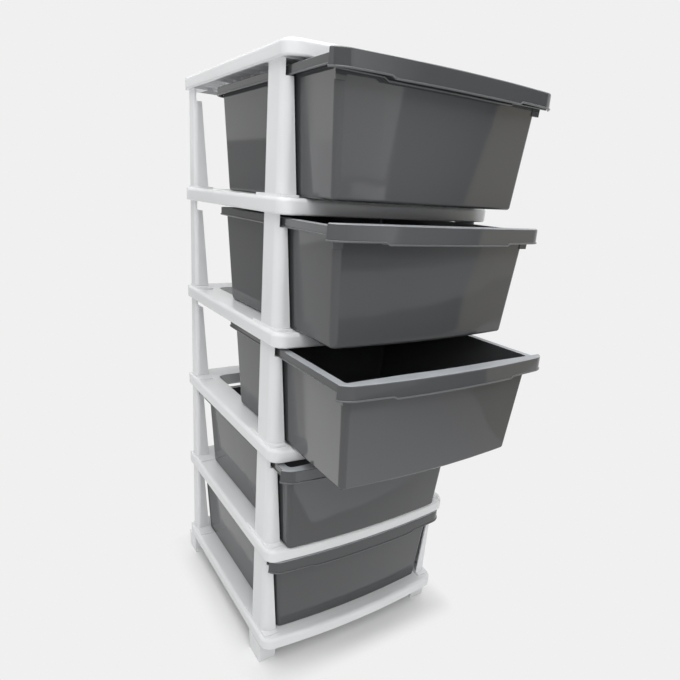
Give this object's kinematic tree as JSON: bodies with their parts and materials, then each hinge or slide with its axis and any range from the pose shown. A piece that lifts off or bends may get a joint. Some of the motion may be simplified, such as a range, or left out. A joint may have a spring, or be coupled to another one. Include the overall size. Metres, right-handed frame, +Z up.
{
  "type": "plastic drawer tower",
  "caption": "Free-standing tower of moulded shelf frames on corner posts, with deep tapered drawers that slide forward and lift out.",
  "frame": {"origin": "On the floor, under the middle of the shelves' footprint", "axes": "+X to the right as seen from the front, the drawers open towards -Y, +Z up"},
  "size_m": [0.38, 0.563, 0.962],
  "materials": {
    "frame_white": "smooth moulded plastic with a soft sheen",
    "drawer_grey": "smooth moulded plastic with a low gloss"
  },
  "bodies": {
    "frame": {"top_panel": "frame_white", "shelf_1": "frame_white", "shelf_2": "frame_white", "shelf_3": "frame_white", "shelf_4": "frame_white", "base_frame": "frame_white", "post_1_front_left": "frame_white", "post_1_front_right": "frame_white", "post_1_back_left": "frame_white", "post_1_back_right": "frame_white", "post_2_front_left": "frame_white", "post_2_front_right": "frame_white", "post_2_back_left": "frame_white", "post_2_back_right": "frame_white", "post_3_front_left": "frame_white", "post_3_front_right": "frame_white", "post_3_back_left": "frame_white", "post_3_back_right": "frame_white", "post_4_front_left": "frame_white", "post_4_front_right": "frame_white", "post_4_back_left": "frame_white", "post_4_back_right": "frame_white", "post_5_front_left": "frame_white", "post_5_front_right": "frame_white", "post_5_back_left": "frame_white", "post_5_back_right": "frame_white", "foot_front_left": "frame_white", "foot_front_right": "frame_white", "foot_back_left": "frame_white", "foot_back_right": "frame_white"},
    "drawer_1_body": {"drawer_1": "drawer_grey"},
    "drawer_2_body": {"drawer_2": "drawer_grey"},
    "drawer_3_body": {"drawer_3": "drawer_grey"},
    "drawer_4_body": {"drawer_4": "drawer_grey"},
    "drawer_5_body": {"drawer_5": "drawer_grey"}
  },
  "joints": [
    {"name": "drawer_1_slide", "type": "slide", "parent": "frame", "child": "drawer_1_body", "axis": [0, -1, 0], "range_m": [-0.092, 0.208]},
    {"name": "drawer_2_slide", "type": "slide", "parent": "frame", "child": "drawer_2_body", "axis": [0, -1, 0], "range_m": [-0.111, 0.189]},
    {"name": "drawer_3_slide", "type": "slide", "parent": "frame", "child": "drawer_3_body", "axis": [0, -1, 0], "range_m": [-0.157, 0.143]},
    {"name": "drawer_4_slide", "type": "slide", "parent": "frame", "child": "drawer_4_body", "axis": [0, -1, 0], "range_m": [-0.027, 0.273]},
    {"name": "drawer_5_slide", "type": "slide", "parent": "frame", "child": "drawer_5_body", "axis": [0, -1, 0], "range_m": [-0.0015, 0.2985]}
  ]
}
